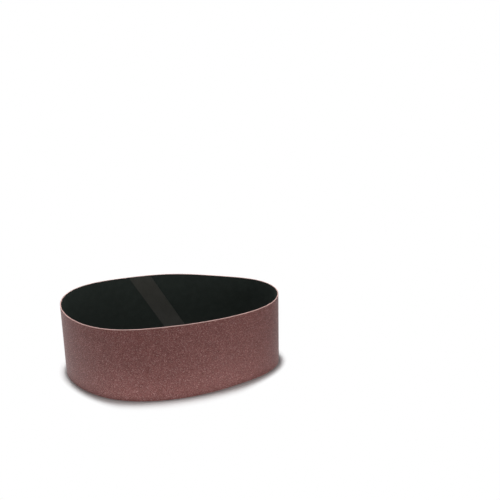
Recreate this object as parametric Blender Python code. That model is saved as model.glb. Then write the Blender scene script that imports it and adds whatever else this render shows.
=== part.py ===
"""A 3 x 21 inch sanding belt, standing on one cut edge as an open egg-shaped loop.

The belt is one strip of coated cloth with its grain outwards. Its two slanting ends meet in
a butt joint on the back wall, and a thin film tape across the inside holds them together.
Metres, +Z up. The front wall faces -Y and the loop is longest along X.
"""

import math

import bmesh
import bpy
from mathutils import Matrix, Vector

# Strip of coated cloth
BELT_LENGTH = 0.5334  # once round, along the middle of the thickness
BELT_WIDTH = 0.0762  # between the two cut edges
BELT_THICKNESS = 0.0010  # cloth, size coat and grain together

# Splice
SPLICE_TURN = math.radians(180)  # its place round the loop, counted from the middle of the front
SPLICE_SLANT = math.radians(30)  # between the joint and a line straight across the belt
SPLICE_GAP = 0.0003  # between the two butted ends
TAPE_WIDTH = 0.0190  # square to the joint
TAPE_THICKNESS = 0.0002
TAPE_BOND_GAP = 0.0001  # between the tape and the cloth it is bonded to
TAPE_TRIM = 0.0005  # from each end of the tape to the belt's cut edge

# Shape of the loop. On a circle the strip's heading turns evenly, and these are the largest
# angles by which it runs ahead of an even turn or behind it.
FLATTENING = math.radians(24.4)  # flattens the front and the back
EGG_AT_FLOOR = math.radians(6.3)  # flattens the back more than the front
EGG_AT_TOP = math.radians(0.4)
SKEW = math.radians(5.8)  # rounds the left end more than the right
SQUARING = math.radians(4.0)  # tightens both ends
SQUARING_SKEW = math.radians(1.7)  # moves the tightest places round the loop a little
FLARE = math.radians(2.6)  # flattens the front's left and draws the right end out
FLARE_SKEW = math.radians(3.2)
TOP_SHIFT = -0.0019  # of the top edge along X from the bottom edge, because the wall leans

LOOP_STEPS = 240  # straight steps round the loop
CUTTER_OVERRUN = 0.005  # how far a cutting plate reaches past each edge of the belt

CUT_EDGE, GRAIN, CLOTH = range(3)  # material slots of the belt


def heading(turn, egg):
    """The strip's direction in plan at a turn round the loop, 0 being the middle of the front."""
    return (
        turn
        - FLATTENING * math.sin(2 * turn)
        + egg * math.sin(3 * turn)
        + SKEW * math.cos(3 * turn)
        + SQUARING * math.sin(4 * turn)
        + SQUARING_SKEW * math.cos(4 * turn)
        - FLARE * math.sin(5 * turn)
        - FLARE_SKEW * math.cos(5 * turn)
    )


def closed_line(egg, shift):
    """One way round the middle of the thickness: a (point, outward direction) pair per step."""
    step = BELT_LENGTH / LOOP_STEPS
    turns = [math.tau * number / LOOP_STEPS for number in range(LOOP_STEPS)]
    runs = []
    for turn in turns:
        halfway = heading(turn + math.pi / LOOP_STEPS, egg)
        runs.append(Vector((math.cos(halfway), math.sin(halfway))) * step)
    drift = sum(runs, Vector((0, 0))) / LOOP_STEPS

    points = [Vector((0, 0))]
    for run in runs[:-1]:
        points.append(points[-1] + run - drift)
    middle = sum(points, Vector((0, 0))) / LOOP_STEPS - Vector((shift, 0))

    line = []
    for turn, point in zip(turns, points):
        along = heading(turn, egg)
        line.append((point - middle, Vector((math.sin(along), -math.cos(along)))))
    return line


def wall_point(step, height, inset):
    """A point of the wall, inset from the middle of its thickness towards the inside."""
    share = height / BELT_WIDTH
    floor_point, floor_outward = FLOOR_LINE[step]
    top_point, top_outward = TOP_LINE[step]
    outward = floor_outward.lerp(top_outward, share).normalized()
    plan = floor_point.lerp(top_point, share) - outward * inset - LOOP_CENTRE
    return Vector((plan.x, plan.y, height))


def centre_of_loop():
    """The middle of the box round the belt's outer face, in plan."""
    outer = []
    for line in (FLOOR_LINE, TOP_LINE):
        outer += [point + outward * BELT_THICKNESS / 2 for point, outward in line]
    xs = [point.x for point in outer]
    ys = [point.y for point in outer]
    return Vector((min(xs) + max(xs), min(ys) + max(ys))) / 2


def material(name, colour, roughness):
    """A Principled material of one colour."""
    made = bpy.data.materials.new(name)
    made.use_nodes = True
    shader = made.node_tree.nodes["Principled BSDF"]
    shader.inputs["Base Color"].default_value = (*colour, 1)
    shader.inputs["Roughness"].default_value = roughness
    shader.inputs["Metallic"].default_value = 0
    return made


def add_object(name, shape):
    """Turns a finished bmesh into an object of that name."""
    mesh = bpy.data.meshes.new(name)
    shape.to_mesh(mesh)
    shape.free()
    made = bpy.data.objects.new(name, mesh)
    bpy.context.scene.collection.objects.link(made)
    return made


def loop_wall(name, insets, heights, materials):
    """A closed wall round the loop, between an outer and an inner inset and two heights.

    Its section is a rectangle. The materials are those of its edges, its outer face and its
    inner face, in that order.
    """
    outer, inner = insets
    low, high = heights
    corners = [(outer, low), (outer, high), (inner, high), (inner, low)]
    slots = [GRAIN, CUT_EDGE, CLOTH, CUT_EDGE]

    shape = bmesh.new()
    rings = []
    for inset, height in corners:
        places = [wall_point(step, height, inset) for step in range(LOOP_STEPS)]
        rings.append([shape.verts.new(place) for place in places])
    for side, slot in enumerate(slots):
        ring = rings[side]
        next_ring = rings[(side + 1) % len(rings)]
        for step in range(LOOP_STEPS):
            after = (step + 1) % LOOP_STEPS
            quad = (ring[step], ring[after], next_ring[after], next_ring[step])
            shape.faces.new(quad).material_index = slot

    wall = add_object(name, shape)
    for slot_material in materials:
        wall.data.materials.append(slot_material)
    wall.data.shade_smooth()
    wall.data.set_sharp_from_angle(angle=math.radians(30))
    return wall


def slanting_plate(name, width):
    """A hidden cutting plate that stands square through the back wall, along the splice."""
    step = round(SPLICE_TURN / math.tau * LOOP_STEPS) % LOOP_STEPS
    centre = wall_point(step, BELT_WIDTH / 2, 0)
    behind = wall_point((step + 1) % LOOP_STEPS, BELT_WIDTH / 2, 0)
    along = math.atan2(behind.y - centre.y, behind.x - centre.x)
    ys = [wall_point(step, BELT_WIDTH / 2, 0).y for step in range(LOOP_STEPS)]
    depth = (max(ys) - min(ys)) / 2
    height = BELT_WIDTH / math.cos(SPLICE_SLANT) + width * math.tan(SPLICE_SLANT)
    size = Matrix.Diagonal((width, depth, height + 2 * CUTTER_OVERRUN, 1))
    turned = Matrix.Rotation(along, 4, "Z") @ Matrix.Rotation(SPLICE_SLANT, 4, "Y")

    shape = bmesh.new()
    bmesh.ops.create_cube(shape, size=1, matrix=Matrix.Translation(centre) @ turned @ size)
    plate = add_object(name, shape)
    plate.hide_render = True
    plate.display_type = "WIRE"
    return plate


def add_boolean(target, operation, cutter):
    """Cuts the cutter away from the target, or keeps only what lies inside it."""
    modifier = target.modifiers.new(operation.title(), "BOOLEAN")
    modifier.operation = operation
    modifier.object = cutter


def make_belt():
    """The coated strip, bent round until its two ends meet."""
    half = BELT_THICKNESS / 2
    finishes = (
        material("cut_edge", (0.47, 0.31, 0.28), 0.85),
        material("aluminium_oxide_grain", (0.165, 0.065, 0.058), 0.6),
        material("cloth_backing", (0.012, 0.016, 0.015), 0.8),
    )
    belt = loop_wall("abrasive_belt", (-half, half), (0, BELT_WIDTH), finishes)
    add_boolean(belt, "DIFFERENCE", slanting_plate("splice_cutter", SPLICE_GAP))


def make_tape():
    """The film bonded across the joint, on the cloth side."""
    film = material("splice_film", (0.042, 0.040, 0.032), 0.4)
    outer = BELT_THICKNESS / 2 + TAPE_BOND_GAP
    insets = (outer, outer + TAPE_THICKNESS)
    heights = (TAPE_TRIM, BELT_WIDTH - TAPE_TRIM)
    tape = loop_wall("splice_tape", insets, heights, (film, film, film))
    add_boolean(tape, "INTERSECT", slanting_plate("tape_cutter", TAPE_WIDTH))


for old in list(bpy.data.objects):
    bpy.data.objects.remove(old)

FLOOR_LINE = closed_line(EGG_AT_FLOOR, 0)
TOP_LINE = closed_line(EGG_AT_TOP, TOP_SHIFT)
LOOP_CENTRE = centre_of_loop()

make_belt()
make_tape()
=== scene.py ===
"""A sanding belt standing on its cut edge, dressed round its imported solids.

The belt is made as the real one is: a strip cut from flat coated cloth with slanting ends,
bent round until the ends meet, and held by a film tape across the inside of the joint.
"""

import math

import bpy
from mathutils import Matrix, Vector, kdtree, noise


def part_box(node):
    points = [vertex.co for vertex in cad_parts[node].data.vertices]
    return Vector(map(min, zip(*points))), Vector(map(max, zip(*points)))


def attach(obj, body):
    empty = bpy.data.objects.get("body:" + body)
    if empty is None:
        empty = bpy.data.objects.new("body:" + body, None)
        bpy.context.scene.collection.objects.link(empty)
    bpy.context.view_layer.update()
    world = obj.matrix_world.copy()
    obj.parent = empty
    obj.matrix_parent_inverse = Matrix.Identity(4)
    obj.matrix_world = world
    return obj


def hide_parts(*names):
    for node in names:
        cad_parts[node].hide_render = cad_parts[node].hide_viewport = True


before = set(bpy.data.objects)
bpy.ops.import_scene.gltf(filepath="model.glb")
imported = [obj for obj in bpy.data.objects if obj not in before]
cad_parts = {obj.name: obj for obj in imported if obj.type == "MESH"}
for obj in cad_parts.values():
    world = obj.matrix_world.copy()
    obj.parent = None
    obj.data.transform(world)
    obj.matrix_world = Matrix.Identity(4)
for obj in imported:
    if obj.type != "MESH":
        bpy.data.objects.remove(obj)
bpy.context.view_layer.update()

# Belt, in metres, as its solids have it
BELT_LENGTH = 0.5334
BELT_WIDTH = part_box("abrasive_belt")[1].z
BELT_THICKNESS = 0.0010
COAT_DEPTH = 0.0004  # bond and grain, of the whole thickness
SPLICE_SLANT = math.radians(30)
TAPE_WIDTH = 0.0190
TAPE_THICKNESS = 0.0002
TAPE_TRIM = 0.0005
STRIP_SPAN = BELT_LENGTH + BELT_WIDTH * math.tan(SPLICE_SLANT)  # before its ends are cut
TAPE_SPAN = BELT_WIDTH / math.cos(SPLICE_SLANT) + TAPE_WIDTH * math.tan(SPLICE_SLANT)

# Shape of the loop: the largest angles by which the strip's heading leads or trails a circle's
FLATTENING = math.radians(24.4)
EGG_AT_FLOOR = math.radians(6.3)
EGG_AT_TOP = math.radians(0.4)
SKEW = math.radians(5.8)
SQUARING = math.radians(4.0)
SQUARING_SKEW = math.radians(1.7)
FLARE = math.radians(2.6)
FLARE_SKEW = math.radians(3.2)
TOP_SHIFT = -0.0019  # of the top edge along X, because the wall leans
LOOP_SAMPLES = 2400
SMOOTH_ANGLE = math.radians(35)  # edges sharper than this are shaded sharp

# Strip, as it is cut and worn
COLUMN_PITCH = 0.0006  # between the strip's columns of vertices
EDGE_ROWS = (0.00012, 0.0003, 0.0006, 0.0012, 0.0025, 0.005, 0.010, 0.020)
JOINT_GAP = 0.00015  # between the butted ends
CUT_EDGE, GRAIN, CLOTH = range(3)  # material slots
FLAT_FACE = 0.9  # least Z, down or up, of a normal on the flat strip's grain or cloth
FRAY_REACH = EDGE_ROWS[2]  # from a cut edge, how far its fraying and its chips go
FRAY_DEPTH = 0.00010  # how far the cut edges wander
FRAY_WAVES = (0.006, 0.0013)  # lengths of its long and its short waves
CHIP_DEPTH = 0.00022  # how deep grain has broken off along the cuts
CHIP_LENGTH = 0.0011
CHIP_SHARE = 0.15  # raises the share of the cuts that is chipped
CHIP_SLANT = 0.6  # how far a chip cuts into the edge, for its depth

# Film across the joint
TAPE_COLUMNS = 24
TAPE_ROW_PITCH = 0.0012
TAPE_BOND = 0.00002  # between the film and the cloth
JOINT_DIP = 0.00006  # how far the film sinks along the joint
JOINT_DIP_REACH = 0.0012

# Finish of the grain
GRAIN_SIZE = 0.00042
GRAIN_COLOURS = (
    (0.0, (0.080, 0.020, 0.017)),
    (0.45, (0.145, 0.043, 0.038)),
    (0.85, (0.203, 0.077, 0.070)),
    (1.0, (0.340, 0.190, 0.175)),
)
GRAIN_SHADE = 0.49  # brightness between the clumps
CLUMP_SIZE = 0.0016
CLUMP_SHADE = 0.90
CLUMP_HEIGHT = 0.7  # where a single grain's is 1
CLOUD_SIZE = 0.012
CLOUD_SHADE = 0.24
GRAIN_ROUGHNESS = 0.60
GLINT = 0.20  # how much smoother the palest grains are
GLINT_CHANCE = (0.8, 1.0)
CRUSHED_GRAIN = (0.52, 0.38, 0.35, 1)
CRUSH_REACH = (0.0009, 0.0003)  # distances from a cut edge where crushing begins and is full
CRUSH_WANDER = 0.0005
CRUSH_UNDER_PAINTED_SHADE = 0.15  # how strongly it shows along the edge that the belt stands on, dimmed there as painted shade
CRUSH_AT_TOP = 0.80
CRUSH_SHADE_LIFT = (0.2 * BELT_WIDTH, 0.8 * BELT_WIDTH)  # heights between which it grows, as the painted shade at the foot lifts
WORN_GRAIN = (0.045, 0.016, 0.014, 1)
WEAR = 0.7
WEAR_REACH = (0.0008, 0.0002)  # distances from the joint where its wear begins and is full

# Finish of the cut edges, from the grain to the cloth
EDGE_COLOURS = (
    (0.0, (0.42, 0.22, 0.19)),
    (0.30, (0.68, 0.42, 0.38)),
    (0.70, (0.70, 0.46, 0.43)),
    (1.0, (0.22, 0.15, 0.14)),
)
FIBRE_SIZE = 0.00025
FIBRE_BLUR = 0.25  # how far fibres carry one layer's colour into the next
FIBRE_SHADES = (0.7, 1.3)  # brightness between fibres and on them

# Finish of the cloth
CLOTH_COLOURS = ((0.0155, 0.021, 0.0185, 1), (0.043, 0.053, 0.0455, 1))
RIB_PITCH = 0.0007
RIB_SLANT = 1.6  # how far the twill's ribs run along the strip, for each step across it
RIB_HEIGHT = 0.35
THREAD_PITCH = 0.00045
THREAD_HEIGHT = 0.15
WEAVE_SHADE = 0.6  # share of the paler colour on the highest threads
CLOTH_CLOUD_SIZE = 0.006
CLOTH_SHADES = (0.75, 1.25)

# Finish of the film
FILM_COLOURS = ((0.026, 0.026, 0.021, 1), (0.058, 0.055, 0.044, 1))
FILM_THREAD_PITCH = 0.0009
FILM_THREAD_CREST = (0.2, 1.0)  # heights of a wave where a thread begins and is full
FILM_CLOUD_SIZE = 0.005
FILM_SHADES = (0.8, 1.2)

# Floor, with a fine middle part that is stretched out to its far edge
FLOOR_FACES = (160, 120)
FLOOR_MIDDLE = (0.40, 0.30)
FLOOR_STRETCH = 60
FLOOR_FINISH = {"Roughness": 1.0, "Specular IOR Level": 0.0}

# Light that the floor gives off, evenly spaced from the left of the belt to its right, in
# times plain white. It is uneven on purpose: these levels, and the strengths of the lights
# below, were solved by least squares from the photograph's shading, then rounded and set.
# Under an even light of 1.0 the front face loses its shading from top to bottom.
FLOOR_AT_FOOT = (1.0, 3.2, 2.6, 2.3, 0.4)
FLOOR_BEYOND = (1.1, 0.0, 0.1, 1.2, 0.1)
FLOOR_PEAK = max(FLOOR_AT_FOOT + FLOOR_BEYOND)
FLOOR_SPREAD = 0.17  # to either side, the distance over which it varies
FLOOR_BEHIND = 0.25
FLOOR_INSIDE = 0.55
FOOT_FADE = (0.0, 0.014)  # distances from the belt where the light inside turns to that outside
BEYOND_FADE = (0.006, 0.070)  # and the light at the belt's foot to that beyond
BEHIND_FADE = (-0.03, 0.06)  # depths between which the front's light turns to the back's

# Floor as it is seen
FLOOR_GREY = 0.85
FLOOR_GLOW = 0.02
PAINTED_CONTACT_SHADOW_GREY = 0.45  # painted contact shadow, right under the cut edge
PAINTED_CONTACT_SHADOW_REACH = (0.0035, 0.0005)
SHADOW_FADE = (0.003, 0.019)  # distances from the belt where the floor turns to plain white
SHADOW_ENDS = (0.055, 0.115)  # to either side, where those distances shrink to a half

# Lights: the surround as a share of plain daylight, and for each soft light its place, the
# point it faces, its width and its own share
SURROUND = 0.12
SOFT_LIGHTS = {
    "overhead_light": ((-0.05, 0.11, 1.5), (0, 0, 0), 0.26, 0.6),
    "front_light": ((0.25, -1.3, 0.3), (0, 0, 0.04), 0.7, 0.14),
    "back_light": ((-0.5, 1.1, 0.8), (0, 0, 0.04), 0.7, 0.5),
    "left_light": ((-1.1, 0, 0.3), (-0.1, 0, 0.04), 0.6, 0.14),
    "right_light": ((0.9, -0.7, 0.3), (0.1, 0, 0.04), 0.6, 0.30),
}

# Camera
CAMERA_PLACE = Vector((-0.08674, -0.99125, 0.56225))
CAMERA_TURN = (math.radians(66.40), 0, math.radians(-9.39))
CAMERA_LENS = 81.73  # in millimetres, as the sensor's width is
CAMERA_SENSOR = 36


def heading(turn, egg):
    """The strip's direction in plan at a turn round the loop, 0 being the middle of the front."""
    return (
        turn
        - FLATTENING * math.sin(2 * turn)
        + egg * math.sin(3 * turn)
        + SKEW * math.cos(3 * turn)
        + SQUARING * math.sin(4 * turn)
        + SQUARING_SKEW * math.cos(4 * turn)
        - FLARE * math.sin(5 * turn)
        - FLARE_SKEW * math.cos(5 * turn)
    )


def closed_line(egg, shift):
    """One way round the middle of the thickness: evenly spaced points and outward directions."""
    step = BELT_LENGTH / LOOP_SAMPLES
    turns = [math.tau * number / LOOP_SAMPLES for number in range(LOOP_SAMPLES)]
    runs = []
    for turn in turns:
        halfway = heading(turn + math.pi / LOOP_SAMPLES, egg)
        runs.append(Vector((math.cos(halfway), math.sin(halfway))) * step)
    drift = sum(runs, Vector((0, 0))) / LOOP_SAMPLES

    points = [Vector((0, 0))]
    for run in runs[:-1]:
        points.append(points[-1] + run - drift)
    middle = sum(points, Vector((0, 0))) / LOOP_SAMPLES - Vector((shift, 0))

    line = []
    for turn, point in zip(turns, points):
        along = heading(turn, egg)
        line.append((point - middle, Vector((math.sin(along), -math.cos(along)))))
    return line


def centre_of_loop():
    """The middle of the box round the belt's outer face, in plan."""
    outer = []
    for line in (FLOOR_LINE, TOP_LINE):
        outer += [point + outward * BELT_THICKNESS / 2 for point, outward in line]
    xs = [point.x for point in outer]
    ys = [point.y for point in outer]
    return Vector((min(xs) + max(xs), min(ys) + max(ys))) / 2


def bent(flat):
    """Where a point of the flat strip lies once it is bent round the loop.

    The flat strip runs along X from the middle of the front, with its lower edge along Y = 0
    and its inner face up.
    """
    exact = flat.x / BELT_LENGTH * LOOP_SAMPLES
    step = math.floor(exact)
    part = exact - step
    share = flat.y / BELT_WIDTH
    places = []
    ways = []
    for line in (FLOOR_LINE, TOP_LINE):
        point, outward = line[step % LOOP_SAMPLES]
        next_point, next_outward = line[(step + 1) % LOOP_SAMPLES]
        places.append(point.lerp(next_point, part))
        ways.append(outward.lerp(next_outward, part))
    outward = ways[0].lerp(ways[1], share).normalized()
    plan = places[0].lerp(places[1], share) - outward * flat.z - LOOP_CENTRE
    return Vector((plan.x, plan.y, flat.y))


FLOOR_LINE = closed_line(EGG_AT_FLOOR, 0)
TOP_LINE = closed_line(EGG_AT_TOP, TOP_SHIFT)
LOOP_CENTRE = centre_of_loop()


class Wire:
    """An output of a shader node. Python's arithmetic on it adds Math nodes."""

    def __init__(self, tree, node, output=0):
        self.tree = tree
        self.node = node
        self.output = output

    def out(self, output):
        """Another output of the same node."""
        return Wire(self.tree, self.node, output)

    def __add__(self, other):
        return self.tree.maths("ADD", self, other)

    def __radd__(self, other):
        return self.tree.maths("ADD", other, self)

    def __sub__(self, other):
        return self.tree.maths("SUBTRACT", self, other)

    def __rsub__(self, other):
        return self.tree.maths("SUBTRACT", other, self)

    def __mul__(self, other):
        return self.tree.maths("MULTIPLY", self, other)

    def __rmul__(self, other):
        return self.tree.maths("MULTIPLY", other, self)


class Tree:
    """The node tree of a material or of the world, and the one method that adds its nodes."""

    def __init__(self, owner):
        owner.use_nodes = True
        self.tree = owner.node_tree
        self.tree.nodes.clear()

    def add(self, kind, settings=None, sockets=None):
        """Adds a node, with its settings first, then the values or wires of its sockets."""
        node = self.tree.nodes.new("ShaderNode" + kind)
        for name, value in (settings or {}).items():
            if name == "stops":
                self.set_stops(node.color_ramp, value)
            else:
                setattr(node, name, value)
        for name, value in (sockets or {}).items():
            if isinstance(value, Wire):
                self.tree.links.new(value.node.outputs[value.output], node.inputs[name])
            else:
                node.inputs[name].default_value = value
        return Wire(self, node)

    def maths(self, operation, *terms):
        """Adds a Math node on values or wires."""
        return self.add("Math", {"operation": operation}, dict(enumerate(terms)))

    def set_stops(self, ramp, stops):
        """Gives a colour ramp its (position, colour) stops."""
        while len(ramp.elements) < len(stops):
            ramp.elements.new(1)
        for element, (position, colour) in zip(ramp.elements, stops):
            element.position = position
            element.color = (*colour, 1)


def ramp(tree, value, *stops):
    """A value turned into a colour by stops of (position, colour)."""
    return tree.add("ValToRGB", {"stops": stops}, {"Fac": value})


def grey(level):
    """A grey as a colour socket takes it."""
    return (level, level, level, 1)


def levels(tree, value, strengths):
    """Greys spaced evenly over a value from 0 to 1, as shares of the floor's strongest light."""
    spacing = 1 / (len(strengths) - 1)
    stops = [(number * spacing, [each / FLOOR_PEAK] * 3) for number, each in enumerate(strengths)]
    return ramp(tree, value, *stops)


def stepped(tree, value, start, end):
    """0 where the value is at start, 1 where it is at end, with a soft step between them."""
    settings = {"interpolation_type": "SMOOTHSTEP"}
    sockets = {"Value": value, "From Min": start, "From Max": end}
    return tree.add("MapRange", settings, sockets)


def mixed(tree, share, first, second):
    """One colour fading into another."""
    settings = {"data_type": "RGBA"}
    return tree.add("Mix", settings, {0: share, 6: first, 7: second}).out(2)


def toned(tree, colour, brightness):
    """A colour made darker or lighter by a brightness that varies."""
    return tree.add("HueSaturation", None, {"Color": colour, "Value": brightness})


def shaded(tree, colour, clouds, shades):
    """A colour whose brightness goes with noise, between the two given at 0 and at 1."""
    low, high = shades
    return toned(tree, colour, low + (high - low) * clouds)


def waves(tree, place, pitch):
    """A wave from -1 to 1 along a place, with crests that far apart."""
    return tree.maths("SINE", place * (math.tau / pitch))


def noise_of(tree, place, size, detail=2.0):
    """Soft noise from 0 to 1 with lumps of that size, in metres."""
    sockets = {"Vector": place, "Scale": 1 / size, "Detail": detail}
    return tree.add("TexNoise", None, sockets)


def flat_place(tree):
    """How far along and across its flat piece a point lies, each from 0 to 1, by its UV map."""
    flat = tree.add("SeparateXYZ", None, {0: tree.add("TexCoord").out("UV")})
    return flat, flat.out(1)


def strip_place(tree):
    """How far along and across the flat strip a point lies, in metres."""
    along, across = flat_place(tree)
    return along * STRIP_SPAN, across * BELT_WIDTH


def relief(tree, height, strength, depth):
    """A bump with that strength and depth, in metres."""
    return tree.add("Bump", None, {"Height": height, "Strength": strength, "Distance": depth})


def finish_material(tree, colour, roughness, bump, specular, sheen=0.0):
    """Ends a material with its Principled shader."""
    sockets = {"Base Color": colour, "Roughness": roughness, "Normal": bump}
    sockets["Specular IOR Level"] = specular
    sockets["Sheen Weight"] = sheen
    shader = tree.add("BsdfPrincipled", None, sockets)
    tree.add("OutputMaterial", None, {"Surface": shader})


def make_grain_material():
    """Aluminium oxide grain in red-brown resin."""
    material = bpy.data.materials.new("aluminium_oxide_grain")
    tree = Tree(material)
    place = tree.add("TexCoord").out("Object")
    cells = {"Vector": place, "Scale": 1 / GRAIN_SIZE}
    from_peak = tree.add("TexVoronoi", None, cells)
    chance = tree.add("SeparateColor", None, {0: from_peak.out("Color")})
    clumps = noise_of(tree, place, CLUMP_SIZE, detail=3.0)
    clouds = noise_of(tree, place, CLOUD_SIZE)
    brightness = GRAIN_SHADE + CLUMP_SHADE * clumps + CLOUD_SHADE * clouds
    colour = toned(tree, ramp(tree, chance, *GRAIN_COLOURS), brightness)

    along, across = strip_place(tree)
    to_edge = tree.maths("MINIMUM", across, BELT_WIDTH - across)
    # Pale crushed grain along both cut edges, made weaker towards the foot as painted shade
    crushed = stepped(tree, to_edge + CRUSH_WANDER * clumps, *CRUSH_REACH)
    above_painted_shade = stepped(tree, across, *CRUSH_SHADE_LIFT)
    crushed = crushed * (CRUSH_UNDER_PAINTED_SHADE + (CRUSH_AT_TOP - CRUSH_UNDER_PAINTED_SHADE) * above_painted_shade)
    colour = mixed(tree, crushed, colour, CRUSHED_GRAIN)

    lean = (across - BELT_WIDTH / 2) * math.tan(SPLICE_SLANT)
    to_joint = BELT_LENGTH / 2 - tree.maths("ABSOLUTE", along - STRIP_SPAN / 2 - lean)
    worn = stepped(tree, to_joint, *WEAR_REACH)
    colour = mixed(tree, worn * WEAR, colour, WORN_GRAIN)

    height = (1 - from_peak) + CLUMP_HEIGHT * clumps - worn
    bump = relief(tree, height, strength=0.55, depth=0.0002)
    roughness = GRAIN_ROUGHNESS - GLINT * stepped(tree, chance, *GLINT_CHANCE)
    finish_material(tree, colour, roughness, bump, specular=0.24, sheen=0.20)
    return material


def make_cut_edge_material():
    """The cut through coat and cloth: pale crushed grain and fibre ends."""
    material = bpy.data.materials.new("cut_edge")
    tree = Tree(material)
    place = tree.add("TexCoord").out("Object")
    layer = tree.add("Attribute", {"attribute_name": "layer"}).out("Fac")
    fibres = noise_of(tree, place, FIBRE_SIZE, detail=3.0)
    colour = ramp(tree, layer + FIBRE_BLUR * (fibres - 0.5), *EDGE_COLOURS)
    colour = shaded(tree, colour, fibres, FIBRE_SHADES)
    bump = relief(tree, fibres, strength=0.8, depth=0.0002)
    finish_material(tree, colour, roughness=0.85, bump=bump, specular=0.2)
    return material


def make_cloth_material():
    """The dark filled twill of the backing."""
    material = bpy.data.materials.new("cloth_backing")
    tree = Tree(material)
    place = tree.add("TexCoord").out("Object")
    along, across = strip_place(tree)
    ribs = waves(tree, along + across * RIB_SLANT, RIB_PITCH)
    threads = waves(tree, across, THREAD_PITCH)
    weave = 0.5 + RIB_HEIGHT * ribs + THREAD_HEIGHT * threads
    clouds = noise_of(tree, place, CLOTH_CLOUD_SIZE, detail=3.0)
    colour = mixed(tree, weave * WEAVE_SHADE, *CLOTH_COLOURS)
    colour = shaded(tree, colour, clouds, CLOTH_SHADES)
    bump = relief(tree, weave, strength=0.5, depth=0.00012)
    finish_material(tree, colour, roughness=0.7, bump=bump, specular=0.12)
    return material


def make_film_material():
    """The splice film, with its fine reinforcing threads."""
    material = bpy.data.materials.new("splice_film")
    tree = Tree(material)
    place = tree.add("TexCoord").out("Object")
    across = flat_place(tree)[1] * TAPE_SPAN
    threads = stepped(tree, waves(tree, across, FILM_THREAD_PITCH), *FILM_THREAD_CREST)
    clouds = noise_of(tree, place, FILM_CLOUD_SIZE, detail=3.0)
    colour = mixed(tree, threads, *FILM_COLOURS)
    colour = shaded(tree, colour, clouds, FILM_SHADES)
    bump = relief(tree, threads, strength=0.4, depth=0.0001)
    finish_material(tree, colour, roughness=0.4, bump=bump, specular=0.4)
    return material


def add_panel(name, length, width, columns, rows):
    """A flat grid with its own UV map, in edit mode, with its lower edge along Y = 0."""
    bpy.ops.object.select_all(action="DESELECT")
    bpy.ops.mesh.primitive_grid_add(x_subdivisions=columns, y_subdivisions=rows, size=1)
    panel = bpy.context.object
    panel.name = name
    panel.data.name = name
    bpy.ops.object.mode_set(mode="EDIT")
    bpy.ops.mesh.select_all(action="SELECT")
    bpy.ops.transform.resize(value=(length, width, 1), center_override=(0, 0, 0))
    bpy.ops.transform.translate(value=(0, width / 2, 0))
    return panel


def cut_across(place, normal, clear_outer=False, clear_inner=False):
    """Cuts all of the mesh being edited along a plane, and may clear one side of it."""
    bpy.ops.mesh.select_all(action="SELECT")
    bpy.ops.mesh.bisect(
        plane_co=place, plane_no=normal, clear_outer=clear_outer, clear_inner=clear_inner
    )


def thicken(low, high):
    """Gives the flat panel being edited its thickness, between two heights."""
    bpy.ops.mesh.select_all(action="SELECT")
    bpy.ops.transform.translate(value=(0, 0, low))
    bpy.ops.mesh.extrude_region_move(TRANSFORM_OT_translate={"value": (0, 0, high - low)})
    bpy.ops.mesh.select_all(action="SELECT")
    bpy.ops.mesh.normals_make_consistent(inside=False)


def bend_round_loop(piece):
    """Bends a flat piece round the loop, and shades its faces smooth."""
    for vertex in piece.data.vertices:
        vertex.co = bent(vertex.co)
    piece.data.update()
    bpy.ops.object.select_all(action="DESELECT")
    piece.select_set(True)
    bpy.context.view_layer.objects.active = piece
    bpy.ops.object.mode_set(mode="EDIT")
    bpy.ops.mesh.select_all(action="SELECT")
    bpy.ops.mesh.normals_make_consistent(inside=False)
    bpy.ops.object.mode_set(mode="OBJECT")
    bpy.ops.object.shade_smooth_by_angle(angle=SMOOTH_ANGLE)


def wander(along, size, seed):
    """Smooth noise from -1 to 1 along the strip, with waves of that size.

    Each seed gives other waves.
    """
    return noise.noise(Vector((along / size, seed, 0)))


def roughen_cuts(flat):
    """Lets the cut edges of the flat strip wander a little, and chips the grain along them."""
    half = BELT_WIDTH / 2
    side = 1 if flat.y > half else -1
    to_edge = half - abs(flat.y - half)
    if to_edge > FRAY_REACH:
        return
    fade = 1 - to_edge / FRAY_REACH
    long_wave, short_wave = FRAY_WAVES
    fray = 0.5 + 0.3 * wander(flat.x, long_wave, side) + 0.2 * wander(flat.x, short_wave, side + 5)
    flat.y -= side * FRAY_DEPTH * fray * fade
    if flat.z < COAT_DEPTH / 2 - BELT_THICKNESS / 2:
        chip = max(0, wander(flat.x, CHIP_LENGTH, side + 9) + CHIP_SHARE)
        depth = CHIP_DEPTH * chip * fade
        flat.z += depth
        flat.y -= side * depth * CHIP_SLANT


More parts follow.
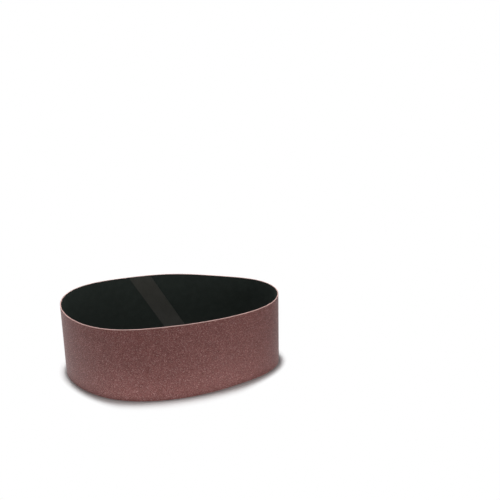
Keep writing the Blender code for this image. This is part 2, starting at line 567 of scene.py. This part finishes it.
def make_belt(grain, cut_edge, cloth):
    """The coated strip: cut from flat cloth, then bent round until its ends meet."""
    columns = round(STRIP_SPAN / COLUMN_PITCH)
    belt = add_panel("coated_cloth_belt", STRIP_SPAN, BELT_WIDTH, columns, 1)
    for edge_row in EDGE_ROWS:
        for height in (edge_row, BELT_WIDTH - edge_row):
            cut_across((0, height, 0), (0, 1, 0))
    cut_across((0, BELT_WIDTH / 2, 0), (0, 1, 0))
    slant = (math.cos(SPLICE_SLANT), -math.sin(SPLICE_SLANT), 0)
    end = (BELT_LENGTH - JOINT_GAP) / 2
    cut_across((end, BELT_WIDTH / 2, 0), slant, clear_outer=True)
    cut_across((-end, BELT_WIDTH / 2, 0), slant, clear_inner=True)
    thicken(-BELT_THICKNESS / 2, BELT_THICKNESS / 2)
    cut_across((0, 0, COAT_DEPTH - BELT_THICKNESS / 2), (0, 0, 1))
    bpy.ops.object.mode_set(mode="OBJECT")

    mesh = belt.data
    for material in (cut_edge, grain, cloth):
        mesh.materials.append(material)
    for face in mesh.polygons:
        if face.normal.z < -FLAT_FACE:
            face.material_index = GRAIN
        elif face.normal.z > FLAT_FACE:
            face.material_index = CLOTH
        else:
            face.material_index = CUT_EDGE
    layer = mesh.attributes.new("layer", "FLOAT", "POINT")
    for vertex in mesh.vertices:
        layer.data[vertex.index].value = vertex.co.z / BELT_THICKNESS + 0.5
        roughen_cuts(vertex.co)
    bend_round_loop(belt)
    return belt


def make_tape(film):
    """The film across the joint: a slanting strip, trimmed at the belt's edges."""
    rows = round(TAPE_SPAN / TAPE_ROW_PITCH)
    tape = add_panel("splice_film_tape", TAPE_WIDTH, TAPE_SPAN, TAPE_COLUMNS, rows)
    middle = (0, TAPE_SPAN / 2, 0)
    bpy.ops.transform.rotate(value=SPLICE_SLANT, orient_axis="Z", center_override=middle)
    drop = BELT_WIDTH / 2 - TAPE_SPAN / 2
    bpy.ops.transform.translate(value=(BELT_LENGTH / 2, drop, 0))
    cut_across((0, BELT_WIDTH - TAPE_TRIM, 0), (0, 1, 0), clear_outer=True)
    cut_across((0, TAPE_TRIM, 0), (0, 1, 0), clear_inner=True)
    bonded = BELT_THICKNESS / 2 + TAPE_BOND
    thicken(bonded, bonded + TAPE_THICKNESS)
    bpy.ops.object.mode_set(mode="OBJECT")

    tape.data.materials.append(film)
    for vertex in tape.data.vertices:
        flat = vertex.co
        lean = (flat.y - BELT_WIDTH / 2) * math.tan(SPLICE_SLANT)
        to_joint = abs(flat.x - BELT_LENGTH / 2 - lean) * math.cos(SPLICE_SLANT)
        if flat.z > bonded + TAPE_THICKNESS / 2:
            flat.z -= JOINT_DIP * max(0, 1 - to_joint / JOINT_DIP_REACH)
    bend_round_loop(tape)
    return tape


def background_rays(tree):
    """1 for the rays that show the background: the camera's, reflected and refracted ones."""
    rays = tree.add("LightPath")
    seen = tree.maths("MAXIMUM", rays, rays.out("Is Glossy Ray"))
    return tree.maths("MAXIMUM", seen, rays.out("Is Transmission Ray"))


def floor_light(tree, sideways, depth, distance):
    """The light that the floor gives off, as a share of its strongest."""
    rightwards = stepped(tree, sideways, -FLOOR_SPREAD, FLOOR_SPREAD)
    at_foot = levels(tree, rightwards, FLOOR_AT_FOOT)
    beyond = levels(tree, rightwards, FLOOR_BEYOND)
    light = mixed(tree, stepped(tree, distance, *BEYOND_FADE), at_foot, beyond)
    behind = stepped(tree, depth, *BEHIND_FADE)
    light = mixed(tree, behind, light, grey(FLOOR_BEHIND / FLOOR_PEAK))
    outside = stepped(tree, distance, *FOOT_FADE)
    return mixed(tree, outside, grey(FLOOR_INSIDE / FLOOR_PEAK), light)


def floor_shader(tree, colour, light, strength):
    """A dull floor of one colour, which gives off light."""
    sockets = {"Base Color": colour, "Emission Color": light, "Emission Strength": strength}
    return tree.add("BsdfPrincipled", None, sockets | FLOOR_FINISH)


def make_floor_material():
    """A floor that looks white with the belt's shadow on it, and gives off an uneven light.

    The camera and reflections see the lit floor near the belt, and plain white further out.
    All other rays meet the uneven light, which lights the belt from below.
    """
    material = bpy.data.materials.new("studio_floor")
    tree = Tree(material)
    place = tree.add("SeparateXYZ", None, {0: tree.add("TexCoord").out("Object")})
    distance = tree.add("Attribute", {"attribute_name": "distance"}).out("Fac")
    light = floor_light(tree, place, place.out(1), distance)
    unseen = floor_shader(tree, grey(0), light, FLOOR_PEAK)

    # Painted contact shadow: the floor's colour darkens right under the belt's foot
    painted_contact_shadow = stepped(tree, tree.maths("ABSOLUTE", distance), *PAINTED_CONTACT_SHADOW_REACH)
    colour = mixed(tree, painted_contact_shadow, grey(FLOOR_GREY), grey(PAINTED_CONTACT_SHADOW_GREY))
    lit = floor_shader(tree, colour, grey(1), FLOOR_GLOW)
    white = tree.add("Emission", None, {"Strength": 1.0})
    endwards = stepped(tree, tree.maths("ABSOLUTE", place), *SHADOW_ENDS)
    far = stepped(tree, distance * (1 + endwards), *SHADOW_FADE)
    pictured = tree.add("MixShader", None, {0: far, 1: lit, 2: white})
    surface = tree.add("MixShader", None, {0: background_rays(tree), 1: unseen, 2: pictured})
    tree.add("OutputMaterial", None, {"Surface": surface})
    return material


def add_distances(floor):
    """Gives the floor's vertices their distance from the belt, below 0 inside the loop."""
    outline = [Vector((*(point - LOOP_CENTRE), 0)) for point, outward in FLOOR_LINE]
    points = kdtree.KDTree(len(outline))
    for number, point in enumerate(outline):
        points.insert(point, number)
    points.balance()
    distances = floor.data.attributes.new("distance", "FLOAT", "POINT")
    for vertex in floor.data.vertices:
        nearest, number, gap = points.find(vertex.co)
        outward = FLOOR_LINE[number][1]
        side = (vertex.co - nearest).xy.dot(outward)
        distances.data[vertex.index].value = math.copysign(gap, side)


def make_floor(material):
    """A wide floor, with fine faces round the belt."""
    columns, rows = FLOOR_FACES
    bpy.ops.object.select_all(action="DESELECT")
    bpy.ops.mesh.primitive_grid_add(x_subdivisions=columns, y_subdivisions=rows, size=1)
    floor = bpy.context.object
    floor.name = "studio_floor"
    bpy.ops.object.mode_set(mode="EDIT")
    bpy.ops.mesh.select_all(action="SELECT")
    bpy.ops.transform.resize(value=(*FLOOR_MIDDLE, 1), center_override=(0, 0, 0))
    bpy.ops.mesh.select_all(action="DESELECT")
    bpy.ops.mesh.select_mode(type="EDGE")
    bpy.ops.mesh.select_non_manifold()
    bpy.ops.mesh.extrude_region_move()
    stretch = (FLOOR_STRETCH, FLOOR_STRETCH, 1)
    bpy.ops.transform.resize(value=stretch, center_override=(0, 0, 0))
    bpy.ops.object.mode_set(mode="OBJECT")
    add_distances(floor)
    floor.data.materials.append(material)


def add_soft_light(name, place, target, size, brightness):
    """A round soft light that faces a point and lights it with that share of plain daylight.

    A white face there shows as plain white when the power is pi squared times the distance
    squared.
    """
    place = Vector(place)
    target = Vector(target)
    light = bpy.data.lights.new(name, "AREA")
    light.shape = "DISK"
    light.size = size
    light.energy = brightness * math.pi ** 2 * (place - target).length_squared
    holder = bpy.data.objects.new(name, light)
    holder.location = place
    holder.rotation_euler = (target - place).to_track_quat("-Z", "Y").to_euler()
    holder.visible_camera = False
    bpy.context.scene.collection.objects.link(holder)


def light_studio():
    """An even white surround, with soft lights overhead, in front, behind and on both sides."""
    world = bpy.data.worlds.new("white_surround")
    tree = Tree(world)
    white = tree.add("Background", None, {"Strength": 1.0})
    dim = tree.add("Background", None, {"Strength": SURROUND})
    surface = tree.add("MixShader", None, {0: background_rays(tree), 1: dim, 2: white})
    tree.add("OutputWorld", None, {"Surface": surface})
    bpy.context.scene.world = world
    for name, (place, target, size, brightness) in SOFT_LIGHTS.items():
        add_soft_light(name, place, target, size, brightness)


def place_camera():
    """The camera of the photograph."""
    camera = bpy.data.objects.new("camera", bpy.data.cameras.new("camera"))
    camera.data.lens = CAMERA_LENS
    camera.data.sensor_width = CAMERA_SENSOR
    camera.data.clip_start = 0.01
    camera.location = CAMERA_PLACE
    camera.rotation_euler = CAMERA_TURN
    bpy.context.scene.collection.objects.link(camera)
    bpy.context.scene.camera = camera


place_camera()
light_studio()
make_floor(make_floor_material())

belt = make_belt(make_grain_material(), make_cut_edge_material(), make_cloth_material())
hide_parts("abrasive_belt")
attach(belt, "root")

tape = make_tape(make_film_material())
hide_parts("splice_tape")
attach(tape, "root")

bpy.context.scene.view_settings.view_transform = "Standard"
